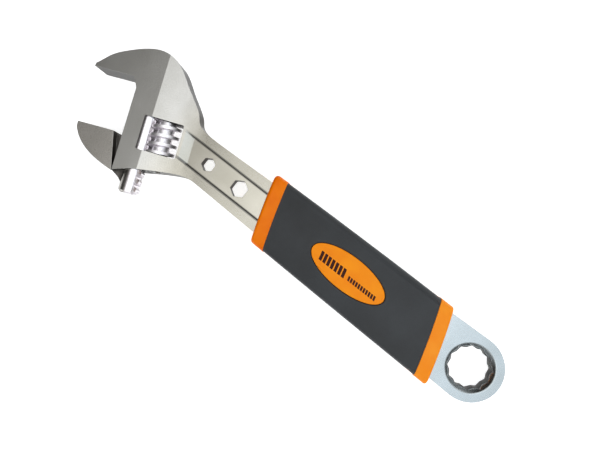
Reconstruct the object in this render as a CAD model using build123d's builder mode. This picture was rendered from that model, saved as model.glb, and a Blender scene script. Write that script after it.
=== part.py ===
from build123d import *
import os
from math import atan2, cos, pi, radians, sin, sqrt

os.makedirs("parts", exist_ok=True)

# Adjustable wrench, nominal 10 inch, with a 12-point ring at the end of its handle.
# Millimetres. The origin is the centre of the ring, on the mid-plane. X runs along the
# handle to the head, Y towards the movable jaw, Z up. The tool is the same above and
# below the mid-plane.

# ---- Head: lengths a are measured in front of the rail edge, b from the fixed jaw's face
throat_reach = 216.3          # ring centre to the throat, along the handle
throat_offset = -12.6         # the throat lies this far to the fixed jaw's side
head_angle = 22.0             # the jaws open at this angle to the handle
head_thickness = 14.4
jaw_depth = 24.6
relief_depth = 2.8            # relief in the throat's corner, along the jaw face
relief_length = 5.4           # and along the rail edge
tip_length = 1.8              # flat end of the fixed jaw
tip_rake = 0.4
crown_points = (              # (a, b) along the head's upper outline, from tip to shank
    (18.0, -7.4),
    (9.4, -12.1),
    (-0.8, -15.6),
    (-8.6, -16.2),
    (-18.4, -11.6),
    (-25.9, -2.0),
    (-34.9, 10.1),
)
crown_tangents = ((-0.55, -0.84), (-1, -0.03))
shoulder_points = ((-27.5, 43.0), (-17.5, 44.5))
shoulder_tangents = ((1, -0.02), (0.9, 0.44))
head_end = 48.8               # lower end of the head at the rail edge
head_end_rake = 3.1           # and how much higher its far corner is
head_end_width = 9.7
fold_line = -12.5             # the cheeks start to slope here
fold_run = 21.0               # steeply enough to reach the shank's thickness this far back
fold_blend = 9.0              # but they level out into the shank over this much more

# ---- Shank, tang and ring
shank_thickness = 9.2
shank_upper = -10.9           # edge of the shank on the fixed jaw's side
shank_lower = 12.4            # and on the movable jaw's side
shank_start = 56.0            # narrowest place, behind the throat
web_thickness = 5.4
recess_half_width = 6.8
recess_centre = 0.8
recess_lead = 30.5            # the recess starts this far behind the rail edge
recess_ramp = 5.0
recess_overrun = 0.7          # the ramp starts this far outside the shank's face
recess_rear = 42.0            # rear end of the recess, under the grip
small_hex = 6.5               # 1/4 inch bit hexagon
large_hex = 8.15              # 8 mm hexagon
large_hex_reach = 75.3        # from the throat back to the large hexagon
hex_spacing = 20.2
tang_half_width = 15.0
tang_rear = 21.0              # the tang has its full width here
ring_radius = 16.0
ring_hexagon = 18.1           # 12-point ring for 18 mm hexagons
ring_lead_in = 1.3

# ---- Movable jaw and its rail
opening = 29.6                # between the jaw faces, as the tool lies
opening_most = 30.0
opening_least = 0.1
jaw_thickness = 14.0
jaw_heel = 19.7               # the jaw's back starts this far below its face
heel_foot = 18.7              # lower end of the heel's sloping side
heel_slope = 4.5              # the face starts this far in front of the heel
jaw_back_points = ((12.3, 15.0), (21.0, 8.4))
jaw_tip_height = 2.4
neck_thickness = 5.6
neck_start = 2.0              # upper edge of the neck below the jaw face
neck_rise = 1.5               # and how much higher it meets the jaw's head
neck_root = 1.0               # the neck reaches this far into the head
neck_end_gap = 2.0            # the neck stops this far above the rail's lower end
neck_foot = 2.5               # width of its lower end in front of the rail's axis
neck_points = ((4.4, 24.3), (6.4, 22.1))  # in front of that axis and below the face
slot_overrun = 1.0            # the neck's slot runs this far into the jaw gap
rail_diameter = 10.6
rail_line = -8.9              # rail axis behind the rail edge
rail_above = 12.4             # rail above the jaw face
rail_below = 28.9             # and below it
rail_clearance = 0.075        # radial
neck_clearance = 0.2          # on each side of the neck
heel_clearance = 0.4          # between the jaw's heel and the rail edge
rail_chamfer = 1.2
channel_wall = 0.7            # blind end of the channel past the closed rail

# ---- Worm, pin and spring
worm_diameter = 15.2
worm_core = 8.8
worm_gap = 0.3                # between the rail and the worm's core
worm_pitch = 4.5
worm_length = 17.3
thread_crest = 1.5
thread_root = 2.4
thread_start = -0.15          # a thread faces the rack this far below the worm's upper end
thread_clearance = 0.2
thread_sink = 0.4             # the thread is rooted this far inside the core
rack_clearance = 0.3          # past the worm's crests
window_upper = 17.6           # upper end of the window below the fixed jaw's face
window_end_clearance = 0.25
window_rail_cover = 0.2       # the window stops this far in front of the rail's axis
window_back_gap = 2.8         # behind the worm
window_corner = 0.8
pin_diameter = 4.0
pin_clearance = 0.08          # radial, in the worm
pin_blind = 5.7               # pin above the window
pin_head_diameter = 6.0
pin_head_length = 2.6
pin_head_depth = 1.2          # below the end of the head
pin_slot = 1.0
spring_outside = 6.2
spring_wire = 0.7
spring_turns = 5
spring_pocket = 6.8
spring_pocket_depth = 6.0
spring_gap = 0.15             # to the pocket's floor
spring_end_gap = 0.05

# ---- Grip
grip_rear = 17.3              # rear end of the grip on the centre line
grip_length = 107.6
grip_centre = 0.55
grip_rear_shift = 0.5         # the grip's rear end lies this much further to the jaw's side
grip_rake = 17.3              # the ends lean at this angle
front_collar_length = 7.7
rear_collar_length = 7.2
grip_thickness = 18.8
grip_front_half_width = 16.7
grip_rear_half_width = 18.5
grip_belly = 0.5              # extra half width in the middle
grip_crown = 2.6              # the faces rise this much from their edges to their middle
grip_side_crown = 0.5
grip_rounding = 3.0
collar_proud = 0.3
front_rounding = 1.8          # of the collars' free ends
rear_rounding = 1.2
badge_length = 42.2
badge_width = 16.8
badge_reach = 55.1            # from the grip's rear end
badge_drop = 2.0              # the pocket's floor below the crown
badge_gap = 0.35
badge_sink = 0.1              # below the grip's surface

# ---- Directions and planes that the head's pieces share
turn = radians(head_angle)
d_axis = (cos(turn), sin(turn), 0)
s_axis = (-sin(turn), cos(turn), 0)
head = Plane(origin=(throat_reach, throat_offset, 0), x_dir=d_axis, z_dir=(0, 0, 1))


def head_point(a, b):
    """Plan position of the point a in front of the rail edge and b below the fixed jaw's face."""
    spot = head.from_local_coords((a, b, 0))
    return (spot.X, spot.Y)


def across(a, b):
    """Plane square to the rail and the worm: local X is in front, local Z runs down the rail."""
    return Plane(origin=head.from_local_coords((a, b, 0)), x_dir=d_axis, z_dir=s_axis)


half = head_thickness / 2
shank_half = shank_thickness / 2
far = 2 * throat_reach
worm_line = rail_line - rail_diameter / 2 - worm_gap - worm_core / 2
window_front = rail_line + window_rail_cover
window_back = worm_line - worm_diameter / 2 - window_back_gap
window_lower = window_upper + worm_length + 2 * window_end_clearance
worm_start = window_upper + window_end_clearance
rail_top = opening - rail_above
channel_start = opening_least - rail_above - channel_wall
lead = atan2(worm_pitch, pi * (worm_diameter + worm_core) / 2)
pin_start = window_upper - pin_blind
pin_end = head_end - head_end_rake - pin_head_depth
shank_web = web_thickness / 2
fold_end = fold_line - fold_run - fold_blend
large_hex_x = throat_reach - large_hex_reach
hexagons = ((large_hex_x, large_hex), (large_hex_x + hex_spacing, small_hex))

# ---- Wrench body
jaw_tip = head_point(jaw_depth, 0)
tip_back = head_point(jaw_depth - tip_rake, -tip_length)
end_corner = head_point(-head_end_width, head_end - head_end_rake)
upper_shank = (throat_reach - shank_start, shank_upper)
lower_shank = (throat_reach - shank_start, shank_lower)

with BuildPart() as wrench_body:
    with BuildSketch(Plane.XY.offset(-half)):
        with BuildLine():
            Line(head_point(relief_depth, 0), jaw_tip)
            Line(jaw_tip, tip_back)
            Spline(
                tip_back,
                *[head_point(*spot) for spot in crown_points],
                upper_shank,
                tangents=crown_tangents,
            )
            Line(upper_shank, (0, -ring_radius))
            ThreePointArc((0, -ring_radius), (-ring_radius, 0), (0, ring_radius))
            Line((0, ring_radius), lower_shank)
            Spline(
                lower_shank,
                *[head_point(*spot) for spot in shoulder_points],
                end_corner,
                tangents=shoulder_tangents,
            )
            Line(end_corner, head_point(0, head_end))
            Line(head_point(0, head_end), head_point(0, relief_length))
            Line(head_point(0, relief_length), head_point(relief_depth, 0))
        make_face()
    extrude(amount=head_thickness)

    # The cheeks are flat over the jaws and slope down to the shank behind the fold line.
    with BuildSketch(Plane(origin=head.origin, x_dir=d_axis, z_dir=s_axis)):
        with BuildLine():
            for side in (1, -1):
                Polyline(
                    (fold_end, side * shank_half),
                    (-far, side * shank_half),
                    (-far, 0),
                )
                Spline(
                    (fold_line, side * half),
                    (fold_end, side * shank_half),
                    tangents=((-fold_run, side * (shank_half - half)), (-1, 0)),
                )
                Polyline(
                    (fold_line, side * half),
                    (2 * jaw_depth, side * half),
                    (2 * jaw_depth, 0),
                )
        make_face()
    extrude(amount=far, both=True, mode=Mode.INTERSECT)

    # Bore for the rail, blind at the fixed jaw's end, and the slot for the jaw's neck.
    with BuildSketch(across(rail_line, channel_start)):
        Circle(rail_diameter / 2 + rail_clearance)
    extrude(amount=far, mode=Mode.SUBTRACT)
    slot_start = opening_least + neck_start - channel_wall
    slot_front = relief_depth + slot_overrun
    with BuildSketch(across((rail_line + slot_front) / 2, slot_start)):
        Rectangle(slot_front - rail_line, neck_thickness + 2 * neck_clearance)
    extrude(amount=far, mode=Mode.SUBTRACT)

    # Window for the worm, and the bore for its pin.
    with BuildSketch(head):
        with Locations(((window_front + window_back) / 2, (window_upper + window_lower) / 2)):
            RectangleRounded(
                window_front - window_back, window_lower - window_upper, window_corner
            )
    extrude(amount=head_thickness, both=True, mode=Mode.SUBTRACT)
    with BuildSketch(across(worm_line, pin_start)):
        Circle(pin_diameter / 2)
    extrude(amount=far, mode=Mode.SUBTRACT)
    with BuildSketch(across(worm_line, pin_end - pin_head_length)):
        Circle(pin_head_diameter / 2)
    extrude(amount=far, mode=Mode.SUBTRACT)

    # 12-point ring with a lead-in on both faces.
    with BuildSketch():
        for corner_turn in (0, 30):
            RegularPolygon(ring_hexagon / 2, 6, major_radius=False, rotation=corner_turn)
    extrude(amount=half, both=True, mode=Mode.SUBTRACT)
    lead_in_radius = ring_hexagon / sqrt(3) + ring_lead_in
    for side in (1, -1):
        with BuildSketch(Plane.XZ):
            with BuildLine():
                Polyline(
                    (0, side * shank_half),
                    (lead_in_radius, side * shank_half),
                    (0, side * (shank_half - lead_in_radius)),
                    close=True,
                )
            make_face()
        revolve(axis=Axis.Z, mode=Mode.SUBTRACT)

# The recess in each face of the shank starts with a ramp behind the window.
with BuildPart() as recess:
    with BuildSketch(Plane(origin=head.origin, x_dir=d_axis, z_dir=s_axis)):
        for side in (1, -1):
            with BuildLine():
                Polyline(
                    (-recess_lead, side * half),
                    (-recess_lead, side * (shank_half + recess_overrun)),
                    (-recess_lead - recess_ramp, side * shank_web),
                    (-far, side * shank_web),
                    (-far, side * half),
                    close=True,
                )
            make_face()
    extrude(amount=far, both=True)
    with BuildSketch():
        with Locations(((recess_rear + throat_reach) / 2, recess_centre)):
            Rectangle(throat_reach - recess_rear, 2 * recess_half_width)
    extrude(amount=half, both=True, mode=Mode.INTERSECT)

with wrench_body:
    add(recess.part, mode=Mode.SUBTRACT)
    for reach, size in hexagons:
        with BuildSketch():
            with Locations((reach, recess_centre)):
                RegularPolygon(size / 2, 6, major_radius=False, rotation=30)
        extrude(amount=half, both=True, mode=Mode.SUBTRACT)

wrench_body.part.label = "wrench_body"
export_step(wrench_body.part, "parts/wrench_body.step")

# ---- Worm: a right-hand thread on a bored core, with a pocket for the spring. It is drawn
# standing on the origin, with local X towards the rack, and then laid in the window.
worm_radius = worm_diameter / 2
core_radius = worm_core / 2
thread_height = worm_radius - core_radius

with BuildPart() as thread:
    with BuildLine() as thread_path:
        Helix(
            worm_pitch,
            worm_length + 2 * worm_pitch,
            core_radius,
            center=(0, 0, thread_start - worm_pitch),
        )
    helix = thread_path.edge()
    with BuildSketch(Plane(origin=helix @ 0, x_dir=(1, 0, 0), z_dir=helix % 0)):
        with BuildLine():
            Polyline(
                (-thread_sink, thread_root / 2),
                (thread_height, thread_crest / 2),
                (thread_height, -thread_crest / 2),
                (-thread_sink, -thread_root / 2),
                close=True,
            )
        make_face()
    sweep(path=helix, is_frenet=True)
    with BuildSketch():
        Circle(worm_diameter)
    extrude(amount=worm_length, mode=Mode.INTERSECT)

with BuildPart() as upright_worm:
    with BuildSketch():
        Circle(core_radius)
    extrude(amount=worm_length)
    add(thread.part)
    with BuildSketch():
        Circle(pin_diameter / 2 + pin_clearance)
    extrude(amount=worm_length, mode=Mode.SUBTRACT)
    with BuildSketch(Plane.XY.offset(worm_length - spring_pocket_depth)):
        Circle(spring_pocket / 2)
    extrude(amount=spring_pocket_depth, mode=Mode.SUBTRACT)

adjusting_worm = across(worm_line, worm_start).location * upright_worm.part
adjusting_worm.label = "adjusting_worm"
export_step(adjusting_worm, "parts/adjusting_worm.step")

# ---- Pin that holds the worm, with a slotted head
with BuildPart() as worm_pin:
    with BuildSketch(across(worm_line, pin_start)):
        Circle(pin_diameter / 2)
    extrude(amount=pin_end - pin_start)
    with BuildSketch(across(worm_line, pin_end - pin_head_length)):
        Circle(pin_head_diameter / 2)
    extrude(amount=pin_head_length)
    with BuildSketch(across(worm_line, pin_end - pin_slot)):
        Rectangle(pin_slot, pin_head_diameter)
    extrude(amount=pin_slot, mode=Mode.SUBTRACT)

worm_pin.part.label = "worm_pin"
export_step(worm_pin.part, "parts/worm_pin.step")

# ---- Spring between the worm's pocket and the end of the window
spring_start = worm_start + worm_length - spring_pocket_depth + spring_gap
spring_end = window_lower - spring_end_gap
spring_travel = spring_end - spring_start - spring_wire

with BuildPart() as worm_spring:
    with BuildLine() as wire_path:
        Helix(
            spring_travel / spring_turns,
            spring_travel,
            (spring_outside - spring_wire) / 2,
            center=across(worm_line, spring_start + spring_wire / 2).origin,
            direction=s_axis,
        )
    wire = wire_path.edge()
    with BuildSketch(Plane(origin=wire @ 0, z_dir=wire % 0)):
        Circle(spring_wire / 2)
    sweep(path=wire, is_frenet=True)

worm_spring.part.label = "worm_spring"
export_step(worm_spring.part, "parts/worm_spring.step")

# ---- Movable jaw: head, neck and toothed rail
jaw_plane = Plane(origin=head.from_local_coords((0, opening, 0)), x_dir=d_axis, z_dir=(0, 0, 1))
rail_end = opening + rail_below
heel_front = heel_clearance + heel_slope
neck_end = rail_below - neck_end_gap

with BuildPart() as movable_jaw:
    with BuildSketch(jaw_plane.offset(-jaw_thickness / 2)):
        with BuildLine():
            Polyline(
                (heel_clearance, jaw_heel),
                (heel_clearance, heel_foot),
                (heel_front, 0),
                (jaw_depth, 0),
                (jaw_depth, jaw_tip_height),
            )
            Spline(
                (jaw_depth, jaw_tip_height),
                *reversed(jaw_back_points),
                (heel_clearance, jaw_heel),
            )
        make_face()
    extrude(amount=jaw_thickness)
    with BuildSketch(jaw_plane.offset(-neck_thickness / 2)):
        with BuildLine():
            Polyline(
                (heel_front + neck_root, neck_start - neck_rise),
                (heel_clearance, neck_start),
                (rail_line, neck_start),
                (rail_line, neck_end),
                (rail_line + neck_foot, neck_end),
                *[(rail_line + x, y) for x, y in neck_points],
                (heel_clearance + neck_root, jaw_heel),
                (heel_front + neck_root, jaw_back_points[0][1]),
                close=True,
            )
        make_face()
    extrude(amount=neck_thickness)
    with BuildSketch(across(rail_line, rail_top)):
        Circle(rail_diameter / 2)
    extrude(amount=rail_end - rail_top)
    chamfer(movable_jaw.faces().sort_by(Axis((0, 0, 0), s_axis))[-1].edges(), rail_chamfer)

    # Rack: ring grooves about the worm's axis, tilted to the thread's lead.
    first_groove = worm_start + thread_start
    groove_reach = thread_root / 2 + thread_clearance
    groove_count = int((rail_end + groove_reach - first_groove) / worm_pitch) + 1
    groove_axis = Vector(s_axis) * cos(lead) + Vector(0, 0, 1) * sin(lead)
    groove_radius = worm_radius + rack_clearance
    for groove in range(groove_count):
        middle = across(worm_line, first_groove + groove * worm_pitch).origin
        groove_plane = Plane(origin=middle, x_dir=d_axis, z_dir=Vector(d_axis).cross(groove_axis))
        with BuildSketch(groove_plane):
            with BuildLine():
                Polyline(
                    (core_radius, groove_reach),
                    (groove_radius, thread_crest / 2 + thread_clearance),
                    (groove_radius, -thread_crest / 2 - thread_clearance),
                    (core_radius, -groove_reach),
                    close=True,
                )
            make_face()
        revolve(axis=Axis(middle, groove_axis), mode=Mode.SUBTRACT)

movable_jaw.part.label = "movable_jaw"
export_step(movable_jaw.part, "parts/movable_jaw.step")

# ---- Grip: a soft sleeve between two collars, moulded round the tang
grip_front = grip_rear + grip_length
rake_normal = (cos(radians(grip_rake)), sin(radians(grip_rake)), 0)
half_grip = grip_thickness / 2


def raked_plane(x):
    """Plane that cuts the grip at x on the centre line, leaning like its ends."""
    return Plane(origin=(x, grip_centre, 0), z_dir=rake_normal)


def grip_section(x, y, half_width, swell):
    """Cross-section of the grip at x: crowned faces and sides with rounded corners."""
    wide = half_width - grip_side_crown + swell
    high = half_grip - grip_crown + swell
    with BuildSketch(Plane(origin=(x, y, 0), x_dir=(0, 1, 0), z_dir=(1, 0, 0))) as section:
        with BuildLine():
            ThreePointArc((-wide, high), (0, high + grip_crown), (wide, high))
            ThreePointArc((wide, high), (wide + grip_side_crown, 0), (wide, -high))
            ThreePointArc((wide, -high), (0, -high - grip_crown), (-wide, -high))
            ThreePointArc((-wide, -high), (-wide - grip_side_crown, 0), (-wide, high))
        make_face()
        fillet(section.vertices(), grip_rounding + swell)
    return section.sketch


def grip_blank(start_x, end_x, swell, free_end=0, rounding=0):
    """Grip shape between two raked cuts, swollen all round, less the tang inside.
    The end at index free_end, 0 for the rear and -1 for the front, may be rounded."""
    overrun = grip_rear_half_width
    middle_half_width = (grip_front_half_width + grip_rear_half_width) / 2 + grip_belly
    sections = [
        grip_section(
            grip_rear - overrun, grip_centre + grip_rear_shift, grip_rear_half_width, swell
        ),
        grip_section((grip_rear + grip_front) / 2, grip_centre, middle_half_width, swell),
        grip_section(grip_front + overrun, grip_centre, grip_front_half_width, swell),
    ]
    with BuildPart() as blank:
        loft(sections)
        split(bisect_by=raked_plane(start_x), keep=Keep.TOP)
        split(bisect_by=raked_plane(end_x), keep=Keep.BOTTOM)
        if rounding:
            ends = blank.faces().sort_by(Axis((0, 0, 0), rake_normal))
            fillet(ends[free_end].edges(), rounding)
        add(wrench_body.part, mode=Mode.SUBTRACT)
    return blank


sleeve_rear = grip_rear + rear_collar_length
sleeve_front = grip_front - front_collar_length
rear_collar = grip_blank(grip_rear, sleeve_rear, collar_proud, 0, rear_rounding)
front_collar = grip_blank(sleeve_front, grip_front, collar_proud, -1, front_rounding)
grip_sleeve = grip_blank(sleeve_rear, sleeve_front, 0)

# ---- Oval badges, let into pockets in both faces of the sleeve
badge_skin = grip_blank(grip_rear, grip_front, -badge_sink)
badge_x = grip_rear + badge_reach
badge_floor = half_grip - badge_drop


def badge_oval(side, gap):
    """Oval block from the pocket's floor outwards, on the face that side names."""
    with BuildPart() as block:
        with BuildSketch(Plane.XY.offset(side * badge_floor)):
            with Locations((badge_x, grip_centre)):
                Ellipse(badge_length / 2 + gap, badge_width / 2 + gap)
        extrude(amount=side * badge_drop)
    return block.part


badges = {}
for side, name in ((1, "badge_front"), (-1, "badge_back")):
    with BuildPart() as badge:
        add(badge_oval(side, 0))
        add(badge_skin.part, mode=Mode.INTERSECT)
    badges[name] = badge
    with grip_sleeve:
        add(badge_oval(side, badge_gap), mode=Mode.SUBTRACT)

grip_pieces = {
    "front_collar": front_collar,
    "grip_sleeve": grip_sleeve,
    "rear_collar": rear_collar,
    **badges,
}
for name, piece in grip_pieces.items():
    piece.part.label = name
    export_step(piece.part, f"parts/{name}.step")
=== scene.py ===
# %% [markdown]
# An adjustable wrench, dressed in Blender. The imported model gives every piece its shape,
# size and place; this script gives them rounded edges, plating, moulded plastic and rubber,
# and a plain studio to stand in. Lengths are in metres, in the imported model's own frame:
# the origin is the centre of the ring, X runs along the handle and Z points up.

# %% Load the frame
from math import cos, hypot, pi, radians, sin
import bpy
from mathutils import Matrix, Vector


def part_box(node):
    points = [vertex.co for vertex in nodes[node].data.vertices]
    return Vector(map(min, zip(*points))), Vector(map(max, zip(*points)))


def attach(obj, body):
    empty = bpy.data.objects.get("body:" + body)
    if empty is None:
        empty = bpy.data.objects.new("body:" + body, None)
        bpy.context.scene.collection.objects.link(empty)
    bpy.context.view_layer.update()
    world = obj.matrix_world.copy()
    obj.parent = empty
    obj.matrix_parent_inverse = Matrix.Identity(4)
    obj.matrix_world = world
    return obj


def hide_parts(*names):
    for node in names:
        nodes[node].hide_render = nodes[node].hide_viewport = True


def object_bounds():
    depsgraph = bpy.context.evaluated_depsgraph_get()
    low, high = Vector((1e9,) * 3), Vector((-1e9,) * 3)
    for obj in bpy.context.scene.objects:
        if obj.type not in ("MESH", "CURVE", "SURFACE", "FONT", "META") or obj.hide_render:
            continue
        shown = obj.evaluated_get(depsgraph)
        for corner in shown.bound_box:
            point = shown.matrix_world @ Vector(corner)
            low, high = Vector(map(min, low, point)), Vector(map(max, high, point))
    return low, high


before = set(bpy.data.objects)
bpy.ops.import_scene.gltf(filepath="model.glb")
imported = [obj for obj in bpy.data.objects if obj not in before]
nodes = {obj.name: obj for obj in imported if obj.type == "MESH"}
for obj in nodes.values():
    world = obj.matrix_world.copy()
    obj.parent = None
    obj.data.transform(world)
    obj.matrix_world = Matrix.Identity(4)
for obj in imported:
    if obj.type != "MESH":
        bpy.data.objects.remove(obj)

from types import SimpleNamespace

import bmesh
import bpy
from mathutils import Matrix, Vector

MM = 0.001
cad_low, cad_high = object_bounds()
recess_middle = 0.8
print("CAD box, mm:", [round(v / MM, 1) for v in (*cad_low, *cad_high)])

# %% [markdown]
# The tool lies on its back, so the floor is a plane that touches the grip's underside.
# One plane, large enough to fill the view, with a pale matt finish is all it needs.

# %% Studio floor
bpy.ops.mesh.primitive_plane_add(size=6, location=(0.1, 0, cad_low.z))
floor = bpy.context.object
floor.name = "studio_floor"

# %% [markdown]
# The camera looks down on the tool from just behind its middle, tilted a little towards
# the head and rolled so that the handle runs from upper left to lower right. Its axes are
# built from those two angles, and the point it looks at lies on the tool's mid-plane.

# %% Camera
camera_distance = 263.5 * MM
camera_tilt = radians(6)
camera_roll = radians(38)
aim = Vector((105.7, -3.7, 0)) * MM
along = Vector((cos(camera_tilt), 0, sin(camera_tilt)))
aside = Vector((0, 1, 0))
back = along.cross(aside)
right = -cos(camera_roll) * along - sin(camera_roll) * aside
up = sin(camera_roll) * along - cos(camera_roll) * aside
camera_data = bpy.data.cameras.new("studio_camera")
camera_data.sensor_width = 36
camera_data.lens = 31.6
camera_data.clip_start = 0.01
camera = bpy.data.objects.new("studio_camera", camera_data)
camera.matrix_world = Matrix.Translation(aim + back * camera_distance) @ (
    Matrix((right, up, back)).transposed().to_4x4()
)
bpy.context.scene.collection.objects.link(camera)
bpy.context.scene.camera = camera
print("camera at, mm:", [round(v / MM) for v in camera.matrix_world.translation])

# %% [markdown]
# Plated steel shows what stands above it. A wide softbox hangs over the handle, so every
# face that looks up or leans back reflects it and reads light. It stops short of the head,
# whose flat face then reflects the dimmer room and reads dark. A second, cooler box hangs
# over the ring. Two lamps at the sides light the floor and the plastics.


# %% Lights
def softbox(name, place, aim_at, size, radiance, tint):
    """Area light at place that faces aim_at; its size is (along X, along Y) in metres."""
    light = bpy.data.lights.new(name, "AREA")
    light.shape = "RECTANGLE"
    light.size, light.size_y = size
    light.energy = radiance * pi * size[0] * size[1]
    light.color = tint
    lamp = bpy.data.objects.new(name, light)
    lamp.location = place
    direction = Vector(aim_at) - Vector(place)
    lamp.rotation_euler = direction.to_track_quat("-Z", "Y").to_euler()
    bpy.context.scene.collection.objects.link(lamp)
    return lamp


white, cool = (0.97, 0.99, 1.0), (0.8, 0.9, 1.0)
for lamp in (
    softbox("over_head", (0.235, 0, 0.9), (0.235, 0, 0), (0.37, 1.0), 1.18, white),
    softbox("over_grip", (-0.05, 0, 0.9), (-0.05, 0, 0), (0.18, 1.0), 2.0, (0.88, 0.94, 1.0)),
    softbox("over_ring", (-0.52, 0, 0.9), (-0.52, 0, 0), (0.74, 1.0), 1.06, cool),
    softbox("side_low", (-0.25, 1.0, 0.6), (0.0, 0, 0), (0.8, 0.4), 2.4, (0.94, 0.97, 1.0)),
    softbox("side_high", (-0.25, -1.0, 0.6), (0.0, 0, 0), (0.8, 0.4), 2.4, (0.94, 0.97, 1.0)),
):
    print(lamp.name, round(lamp.data.energy, 2), "W")

world = bpy.data.worlds.new("studio")
world.use_nodes = True
bpy.context.scene.world = world
bpy.context.scene.view_settings.view_transform = "Standard"

# %% [markdown]
# Materials are node trees. One helper adds a node, sets its options and feeds its inputs
# from numbers, colours or other nodes' sockets. Another turns a feature size in
# millimetres into the scale of a pattern that reads object coordinates in metres.


# %% Material helpers
def colour(code):
    """Hex sRGB code as the linear colour that shader sockets take."""
    parts = [int(code[i : i + 2], 16) / 255 for i in (1, 3, 5)]
    return (*[p / 12.92 if p <= 0.04045 else ((p + 0.055) / 1.055) ** 2.4 for p in parts], 1)


def per(size):
    """Pattern scale for features of this size in millimetres."""
    return 1 / (size * MM)


def add_node(tree, kind, inputs=None, **settings):
    """Add a node, set its options, and fill its inputs with values or other sockets."""
    made = tree.nodes.new("ShaderNode" + kind)
    for key, value in settings.items():
        setattr(made, key, value)
    for key, value in (inputs or {}).items():
        if isinstance(value, bpy.types.NodeSocket):
            tree.links.new(value, made.inputs[key])
        else:
            made.inputs[key].default_value = value
    return made


def new_material(name, **inputs):
    """Material with a Principled shader; underscores in the input names stand for spaces."""
    material = bpy.data.materials.new(name)
    material.use_nodes = True
    tree = material.node_tree
    shader = tree.nodes["Principled BSDF"]
    for key, value in inputs.items():
        shader.inputs[key.replace("_", " ")].default_value = value
    place = add_node(tree, "TexCoord").outputs["Object"]
    return material, tree, shader, place


def spread(tree, value, low, high):
    """Noise, which stays around its middle, stretched to run from low to high."""
    return add_node(
        tree, "MapRange",
        {"Value": value, "From Min": 0.3, "From Max": 0.7, "To Min": low, "To Max": high},
    ).outputs["Result"]


def tones(tree, value, dark, light):
    """Colour that follows a noise value from dark to light."""
    return add_node(
        tree, "Mix", {"Factor": spread(tree, value, 0, 1), "A": colour(dark), "B": colour(light)},
        data_type="RGBA",
    ).outputs[2]


def relief(tree, shader, height, depth):
    """Surface relief of this depth in millimetres."""
    bump = add_node(tree, "Bump", {"Height": height, "Strength": 1.0, "Distance": depth * MM})
    tree.links.new(bump.outputs["Normal"], shader.inputs["Normal"])


# %% [markdown]
# The body and the jaw are forged, blasted and plated with satin nickel-chrome. Broad, faint
# clouds of tone come from the forging, and the blasting leaves a fine grain that blurs
# reflections unevenly. The real grain is about 0.05 mm; it is drawn at 0.3 mm so that it
# survives at this distance.


# %% Plated steel
def plated_steel(name, dark, light, wall_shade, smooth, rough, depth, edge=0.6):
    """Satin plating between two tones; walls that stand upright are painted a darker colour, a
    painted shade.
    """
    material, tree, shader, place = new_material(
        name, Metallic=1.0, Specular_Tint=(edge, edge, edge, 1)
    )
    clouds = add_node(
        tree, "TexNoise",
        {"Vector": place, "Scale": per(14), "Detail": 3.0, "Roughness": 0.5},
    ).outputs["Fac"]
    grain = add_node(
        tree, "TexNoise",
        {"Vector": place, "Scale": per(0.3), "Detail": 2.0, "Roughness": 0.5},
    ).outputs["Fac"]
    # Faces turned up keep the plating's tones; upright walls are painted the darker colour, a
    # painted shade for the dim room they reflect.
    tilt = add_node(
        tree, "SeparateXYZ", {"Vector": add_node(tree, "NewGeometry").outputs["Normal"]}
    ).outputs["Z"]
    upright = add_node(tree, "Math", {0: tilt}, operation="ABSOLUTE").outputs[0]
    facing_up = add_node(
        tree, "MapRange",
        {"Value": upright, "From Min": 0.1, "From Max": 0.55, "To Min": 0, "To Max": 1},
    ).outputs[0]
    tone = add_node(
        tree, "Mix",
        {"Factor": facing_up, "A": colour(wall_shade), "B": tones(tree, clouds, dark, light)},
        data_type="RGBA",
    ).outputs[2]
    tree.links.new(tone, shader.inputs["Base Color"])
    tree.links.new(spread(tree, grain, smooth, rough), shader.inputs["Roughness"])
    relief(tree, shader, grain, depth)
    return material, tree, shader, place, tone


def by_place(tree, place, along_x, start, end, before, after):
    """Mix two colours by the place along (x, y) along_x, from start to end in millimetres."""
    reach = add_node(
        tree, "VectorMath", {0: place, 1: (*along_x, 0)}, operation="DOT_PRODUCT"
    ).outputs["Value"]
    share = add_node(
        tree, "MapRange", {"Value": reach, "From Min": start * MM, "From Max": end * MM}
    ).outputs[0]
    return add_node(
        tree, "Mix", {"Factor": share, "A": before, "B": after}, data_type="RGBA"
    ).outputs[2]


body_steel, tree, shader, place, tone = plated_steel(
    "forged_steel_satin_chrome", "#c2c1bc", "#cecdc9", "#4a4743", 0.22, 0.34, 0.004
)
# The shank is painted a little darker and warmer than the head, a painted shade, and the ring's end
# slightly bluer, a painted cool reflection.
# Each of these tones multiplies the plating's own.
shaded, head_tint, bluer = (
    add_node(
        tree, "Mix", {"Factor": 1.0, "A": tone, "B": colour(code)},
        data_type="RGBA", blend_type="MULTIPLY",
    ).outputs[2]
    for code in ("#ece9e0", "#f9fafc", "#d2dce4")
)
worked = by_place(tree, place, (1.0, 0.0), 172, 190, shaded, head_tint)
worked = by_place(tree, place, (1.0, 0.0), 30, 60, bluer, worked)
# The corners along the recess's walls are painted darker, a painted shade, the same on both sides.
spot = add_node(tree, "SeparateXYZ", {"Vector": place}).outputs
aside = add_node(
    tree, "Math", {0: spot["Y"], 1: recess_middle * MM}, operation="SUBTRACT"
).outputs[0]
aside = add_node(tree, "Math", {0: aside}, operation="ABSOLUTE").outputs[0]
beside = add_node(tree, "Math", {0: aside, 1: 6.7 * MM}, operation="SUBTRACT").outputs[0]
beside = add_node(tree, "Math", {0: beside}, operation="ABSOLUTE").outputs[0]
corner = add_node(
    tree, "MapRange",
    {"Value": beside, "From Min": 0.45 * MM, "From Max": 1.0 * MM, "To Min": 0.9, "To Max": 0},
).outputs[0]
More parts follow.
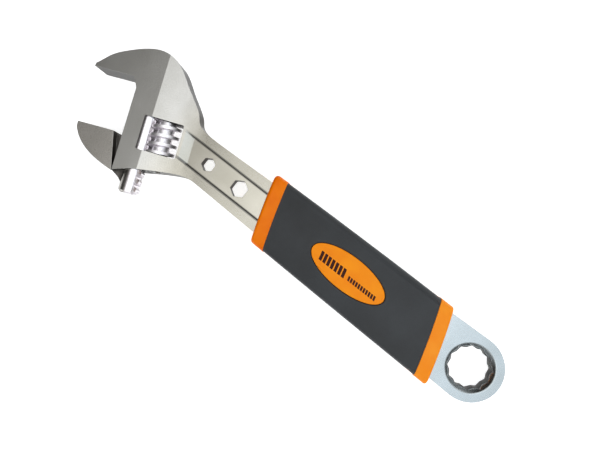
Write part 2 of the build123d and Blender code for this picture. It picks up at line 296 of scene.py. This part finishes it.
# The rims outside the recess are painted a little darker than the web, a painted shade.
rims = add_node(
    tree, "MapRange",
    {"Value": aside, "From Min": 7.2 * MM, "From Max": 7.8 * MM, "To Min": 0, "To Max": 0.13},
).outputs[0]
corner = add_node(tree, "Math", {0: corner, 1: rims}, operation="MAXIMUM").outputs[0]
shank_only = add_node(
    tree, "MapRange",
    {"Value": spot["X"], "From Min": 174 * MM, "From Max": 182 * MM, "To Min": 1, "To Max": 0},
).outputs[0]
corner = add_node(tree, "Math", {0: corner, 1: shank_only}, operation="MULTIPLY").outputs[0]
past_ring = add_node(
    tree, "Math", {0: spot["X"], 1: 36 * MM}, operation="GREATER_THAN"
).outputs[0]
corner = add_node(tree, "Math", {0: corner, 1: past_ring}, operation="MULTIPLY").outputs[0]
worked = add_node(
    tree, "Mix", {"Factor": corner, "A": worked, "B": colour("#6b6a66")}, data_type="RGBA"
).outputs[2]
tree.links.new(worked, shader.inputs["Base Color"])

jaw_steel, tree, shader, place, tone = plated_steel(
    "forged_jaw_steel_satin_chrome", "#bdbab4", "#c9c6c1", "#4a4743", 0.24, 0.36, 0.002
)
# The neck that joins the jaw's head to its rail is painted darker than the jaw, a painted shade
# for its recess. It is 5.6 mm thick, so its faces lie 2.8 mm from the mid-plane.
lift = add_node(tree, "SeparateXYZ", {"Vector": place}).outputs["Z"]
lift = add_node(tree, "Math", {0: lift}, operation="ABSOLUTE").outputs[0]
neck = add_node(
    tree, "MapRange",
    {"Value": lift, "From Min": 2.85 * MM, "From Max": 3.1 * MM, "To Min": 0.85, "To Max": 0},
).outputs[0]
tone = add_node(
    tree, "Mix", {"Factor": neck, "A": tone, "B": colour("#63605c")}, data_type="RGBA"
).outputs[2]
# The rail and its rack are painted bright behind the rail's axis, a painted highlight.
worked = by_place(tree, place, (0.9272, 0.3746), 186.9, 187.7, colour("#f4f0f3"), tone)
tree.links.new(worked, shader.inputs["Base Color"])

worm_steel = plated_steel(
    "turned_worm_steel_bright_chrome", "#f6f2f6", "#fdfbfd", "#f2eef2", 0.44, 0.54, 0.001, 1.0
)[0]
pin_steel = plated_steel(
    "turned_pin_steel_zinc", "#a9a9a6", "#bcbcb8", "#8f8f8c", 0.3, 0.42, 0.002
)[0]
spring_steel = plated_steel(
    "drawn_spring_wire_oiled", "#8d8a85", "#a09d98", "#7b7874", 0.25, 0.4, 0.002
)[0]
print("steel finishes:", 5)

# %% [markdown]
# The collars are taken to be injection-moulded polypropylene. The pigment swirls a little,
# and a faint orange-peel softens highlights. The front one is painted a deeper orange, a painted
# shade.

# %% Moulded plastic and rubber
collar_plastic, tree, shader, place = new_material(
    "moulded_polypropylene_orange", Specular_IOR_Level=0.12
)
swirl = add_node(
    tree, "TexNoise",
    {"Vector": place, "Scale": per(9), "Detail": 3.0, "Roughness": 0.5},
).outputs["Fac"]
peel = add_node(
    tree, "TexNoise",
    {"Vector": place, "Scale": per(0.8), "Detail": 2.0, "Roughness": 0.5},
).outputs["Fac"]
rear_orange = tones(tree, swirl, "#fc8c14", "#ff9a22")
# The front collar's deeper orange is painted shade.
front_orange = tones(tree, swirl, "#ee7000", "#f68004")
orange = by_place(tree, place, (1.0, 0.0), 30, 110, rear_orange, front_orange)
tree.links.new(orange, shader.inputs["Base Color"])
tree.links.new(spread(tree, peel, 0.3, 0.42), shader.inputs["Roughness"])
relief(tree, shader, peel, 0.012)

# The sleeve is soft thermoplastic rubber over the core: charcoal, matt, finely grained,
# with a slight bloom that lifts it at grazing angles.
grip_rubber, tree, shader, place = new_material(
    "moulded_thermoplastic_rubber_charcoal", Specular_IOR_Level=0.4, Sheen_Weight=0.12
)
bloom = add_node(
    tree, "TexNoise",
    {"Vector": place, "Scale": per(22), "Detail": 3.0, "Roughness": 0.5},
).outputs["Fac"]
skin = add_node(
    tree, "TexNoise",
    {"Vector": place, "Scale": per(0.45), "Detail": 3.0, "Roughness": 0.6},
).outputs["Fac"]
tree.links.new(tones(tree, bloom, "#26282a", "#303336"), shader.inputs["Base Color"])
tree.links.new(spread(tree, skin, 0.5, 0.66), shader.inputs["Roughness"])
relief(tree, shader, skin, 0.03)


def bars(tree, place, middle, half, pitch, slant):
    """Mask of a row of slanted bars about middle, half is its half size, all in millimetres."""
    spot = add_node(tree, "SeparateXYZ", {"Vector": place}).outputs
    lean = add_node(
        tree, "Math", {0: spot["Y"], 1: slant, 2: spot["X"]}, operation="MULTIPLY_ADD"
    ).outputs[0]
    phase = add_node(tree, "Math", {0: lean, 1: per(pitch)}, operation="MULTIPLY").outputs[0]
    part = add_node(tree, "Math", {0: phase}, operation="FRACT").outputs[0]
    mask = add_node(tree, "Math", {0: part, 1: 0.72}, operation="LESS_THAN").outputs[0]
    for value, centre, reach in ((lean, middle[0], half[0]), (spot["Y"], middle[1], half[1])):
        inside = add_node(
            tree, "Math", {0: value, 1: centre * MM, 2: reach * MM}, operation="COMPARE"
        ).outputs[0]
        mask = add_node(tree, "Math", {0: mask, 1: inside}, operation="MULTIPLY").outputs[0]
    return mask


# The badges are the collars' plastic in a yellower orange, pad-printed in dark brown with
# two rows of plain slanted bars that stand for the maker's print.
badge_plastic, tree, shader, place = new_material(
    "moulded_polypropylene_badge_printed", Specular_IOR_Level=0.12
)
swirl = add_node(
    tree, "TexNoise",
    {"Vector": place, "Scale": per(9), "Detail": 3.0, "Roughness": 0.5},
).outputs["Fac"]
peel = add_node(
    tree, "TexNoise",
    {"Vector": place, "Scale": per(0.8), "Detail": 2.0, "Roughness": 0.5},
).outputs["Fac"]
large = bars(tree, place, (81.05, 1.5), (7.5, 2.2), 2.23, 0.25)
small = bars(tree, place, (63.54, 2.15), (8.05, 1.15), 1.5, 0.25)
printed = add_node(tree, "Math", {0: large, 1: small}, operation="MAXIMUM").outputs[0]
face = tones(tree, swirl, "#f98a00", "#ff9806")
inked = add_node(
    tree, "Mix", {"Factor": printed, "A": face, "B": colour("#3a1206")}, data_type="RGBA"
).outputs[2]
tree.links.new(inked, shader.inputs["Base Color"])
tree.links.new(spread(tree, peel, 0.3, 0.4), shader.inputs["Roughness"])
relief(tree, shader, peel, 0.01)

# The floor is matt white paper: a fibre pattern far too faint to draw the eye.
paper, tree, shader, place = new_material(
    "matt_white_backdrop_paper", Roughness=0.9, Emission_Color=(1, 1, 1, 1), Emission_Strength=0.6
)
fibre = add_node(
    tree, "TexNoise",
    {"Vector": place, "Scale": per(3), "Detail": 2.0, "Roughness": 0.5},
).outputs["Fac"]
tree.links.new(tones(tree, fibre, "#f7f7f7", "#fbfbfb"), shader.inputs["Base Color"])
floor.data.materials.append(paper)
print("materials:", [m.name for m in bpy.data.materials])

# %% [markdown]
# The room round the softboxes is brighter overhead than at the horizon, and darker beyond
# the head. Rounded edges reflect its horizon and get a dark line, as they do in a studio.

# %% Room light
tree = world.node_tree
sky = add_node(tree, "TexCoord").outputs["Generated"]
ray = add_node(tree, "SeparateXYZ", {"Vector": sky}).outputs
height = add_node(
    tree, "MapRange",
    {"Value": ray["Z"], "From Min": 0.0, "From Max": 1.0, "To Min": 0.12, "To Max": 0.55},
).outputs[0]
beyond = add_node(
    tree, "MapRange",
    {"Value": ray["X"], "From Min": 0.35, "From Max": 0.6, "To Min": 1.2, "To Max": 0.12},
).outputs[0]
glow = add_node(tree, "Math", {0: height, 1: beyond}, operation="MULTIPLY").outputs[0]
room = tree.nodes["Background"]
room.inputs["Color"].default_value = (1.0, 0.975, 0.94, 1)
tree.links.new(glow, room.inputs["Strength"])
print("room light follows height and direction")

# %% [markdown]
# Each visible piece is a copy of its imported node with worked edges. The copy's doubled
# vertices are merged and its flat faces dissolved, then groups of edges are chosen by
# sharpness and place and bevelled, each group with a width of its own.

# %% Copy and bevel
head_turn = radians(22)
throat = Vector((216.3, -12.6))
d_axis = Vector((cos(head_turn), sin(head_turn)))
s_axis = Vector((-sin(head_turn), cos(head_turn)))


def survey(edge):
    """Place of an edge's middle in millimetres, with head coordinates a and b, and its setting."""
    middle = (edge.verts[0].co + edge.verts[1].co) / 2 / MM
    offset = Vector(middle[:2]) - throat
    tilts = sorted(abs(face.normal.z) for face in edge.link_faces)
    run = edge.verts[1].co - edge.verts[0].co
    return SimpleNamespace(
        x=middle.x, y=middle.y, z=abs(middle.z), a=offset.dot(d_axis), b=offset.dot(s_axis),
        angle=edge.calc_face_angle(0), rim=tilts[1] > 0.9 and tilts[0] < 0.5, cheek=tilts[0] > 0.8,
        upright=abs(run.z) > 0.9 * run.length, radius=hypot(middle.x, middle.y),
    )


def only(piece):
    """Make piece the one selected, active object."""
    bpy.ops.object.select_all(action="DESELECT")
    piece.select_set(True)
    bpy.context.view_layer.objects.active = piece


def worked_copy(node, material, body, flatten=0.5):
    """Merged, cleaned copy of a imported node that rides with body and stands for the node."""
    piece = nodes[node].copy()
    piece.data = nodes[node].data.copy()
    piece.parent = None
    for key in list(piece.keys()):
        del piece[key]
    piece.name = node + "_worked"
    bpy.context.scene.collection.objects.link(piece)
    only(piece)
    bpy.ops.object.mode_set(mode="EDIT")
    bpy.ops.mesh.select_all(action="SELECT")
    bpy.ops.mesh.remove_doubles(threshold=0.0005 * MM)
    bpy.ops.mesh.dissolve_limited(angle_limit=radians(flatten))
    bpy.ops.mesh.select_all(action="DESELECT")
    bpy.ops.object.mode_set(mode="OBJECT")
    piece.data.materials.clear()
    piece.data.materials.append(material)
    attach(piece, body)
    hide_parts(node)
    return piece


def choose_edges(piece, chosen):
    """Enter edit mode with exactly the edges selected that chosen accepts; returns their number."""
    only(piece)
    bpy.ops.object.mode_set(mode="EDIT")
    bpy.ops.mesh.select_mode(type="EDGE")
    bpy.ops.mesh.select_all(action="DESELECT")
    mesh = bmesh.from_edit_mesh(piece.data)
    picked = 0
    for edge in mesh.edges:
        if len(edge.link_faces) == 2 and chosen(survey(edge)):
            edge.select = True
            picked += 1
    mesh.select_flush_mode()
    bmesh.update_edit_mesh(piece.data)
    return picked


def bevel_where(piece, width, sharp, chosen, segments=3):
    """Bevel the edges sharper than sharp degrees that chosen accepts, by width millimetres."""
    picked = choose_edges(piece, lambda e: e.angle > radians(sharp) and chosen(e))
    if picked:
        bpy.ops.mesh.bevel(
            offset=width * MM, segments=segments, profile=0.5, clamp_overlap=True
        )
    bpy.ops.mesh.select_all(action="DESELECT")
    bpy.ops.object.mode_set(mode="OBJECT")
    print(piece.name, "bevel", width, "mm on", picked, "edges")


def finish_piece(piece, smooth=40, fold=180):
    """Keep folds between flat faces crisp, smooth the rest, and weight normals by face area."""
    folds = choose_edges(piece, lambda e: e.cheek and e.angle > radians(fold))
    if folds:
        bpy.ops.mesh.mark_sharp()
    bpy.ops.mesh.select_all(action="DESELECT")
    bpy.ops.object.mode_set(mode="OBJECT")
    bpy.ops.object.shade_smooth_by_angle(angle=radians(smooth), keep_sharp_edges=True)
    weighted = piece.modifiers.new("weighted_normals", "WEIGHTED_NORMAL")
    weighted.keep_sharp = True
    weighted.weight = 80
    only(piece)
    bpy.ops.object.modifier_apply(modifier=weighted.name)
    print(piece.name, len(piece.data.polygons), "faces,", folds, "fold edges")


def recess(e):
    """Whether an edge belongs to the recess in the shank."""
    return abs(e.y - recess_middle) < 7.3 and 36 < e.x < 190 and e.a < -29.5 and e.z < 4.9


def window(e):
    """Whether an edge belongs to the window for the worm."""
    return -30 < e.a < -8 and 17 < e.b < 36


# %% [markdown]
# The body is one drop forging. Its rims could be rounded in CAD or by sculpting, but a bevel
# on chosen edges keeps the flat faces flat. Outline, recess, window, ring lead-in and the two
# hexagon holes each take a width of their own.

# %% Wrench body
wrench = worked_copy("wrench_body", body_steel, "root")
bevel_where(
    wrench, 1.0, 50,
    lambda e: e.rim and e.z > 4.4 and not recess(e) and not window(e)
    and (e.radius > 14 or e.x > 30),
    4,
)
for width, on_rim, at_wall in ((0.5, True, True), (0.6, False, True), (0.45, False, False)):
    bevel_where(
        wrench, width, 25,
        lambda e: e.rim and recess(e) and (e.z > 4.0) == on_rim
        and (abs(e.y - recess_middle) > 6) == at_wall,
    )
bevel_where(wrench, 0.35, 25, lambda e: e.rim and window(e) and e.z > 4.4)
bevel_where(wrench, 0.5, 25, lambda e: 11 < e.radius < 12.6 and e.z > 4.4)
for reach, across_flats in ((141.0, 8.15), (161.2, 6.5)):
    bevel_where(
        wrench, 0.35, 50,
        lambda e: hypot(e.x - reach, e.y - recess_middle) < 0.6 * across_flats
        and 2.4 < e.z < 2.8,
        2,
    )
finish_piece(wrench, fold=3)

# %% [markdown]
# The jaw is a second forging, and only its head is bevelled. The rail and the rack run in the
# body, so their edges stay as they are.

# %% Movable jaw
jaw = worked_copy("movable_jaw", jaw_steel, "jaw")
bevel_where(jaw, 0.5, 25, lambda e: e.a > 0.3 and (e.rim or e.upright) and e.z > -1)
finish_piece(jaw, fold=3)

# %% [markdown]
# The worm and its pin are turned parts with small broken edges. The spring sits closed in
# inside the worm and is not seen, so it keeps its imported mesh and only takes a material.

# %% Worm, pin and spring
worm = worked_copy("adjusting_worm", worm_steel, "worm")
bevel_where(worm, 0.25, 60, lambda e: True, 2)
finish_piece(worm)
pin = worked_copy("worm_pin", pin_steel, "root")
bevel_where(pin, 0.3, 60, lambda e: True, 2)
finish_piece(pin)
nodes["worm_spring"].data.materials.clear()
nodes["worm_spring"].data.materials.append(spring_steel)

# %% [markdown]
# The grip is a rubber sleeve between two hard collars, with an oval badge let into each face.
# Each collar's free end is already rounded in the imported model, so only the lip where it
# meets the sleeve is bevelled, which draws the joint as a fine line.


# %% Grip
def at_lip(e, middle_x, lip_end):
    """Whether an edge lies where a collar meets the sleeve; the joint leans 17.3 degrees."""
    outside = abs(e.y - 0.55) > 14.5 or e.z > 6.2
    return outside and lip_end * (e.x - middle_x + (e.y - 0.55) * 0.311) > 0


sleeve = worked_copy("grip_sleeve", grip_rubber, "root", 2)
bevel_where(sleeve, 0.3, 50, lambda e: e.z > 7.2 and 50 < e.x < 95, 2)
finish_piece(sleeve)
for name, lip_end in (("front_collar", -1), ("rear_collar", 1)):
    collar = worked_copy(name, collar_plastic, "root", 0.5)
    middle_x = sum(point[0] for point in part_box(name)) / 2 / MM
    bevel_where(collar, 0.28, 50, lambda e: at_lip(e, middle_x, lip_end), 2)
    finish_piece(collar)
for name in ("badge_front", "badge_back"):
    badge = worked_copy(name, badge_plastic, "root", 2)
    bevel_where(badge, 0.5, 50, lambda e: e.z > 7.8, 3)
    finish_piece(badge)
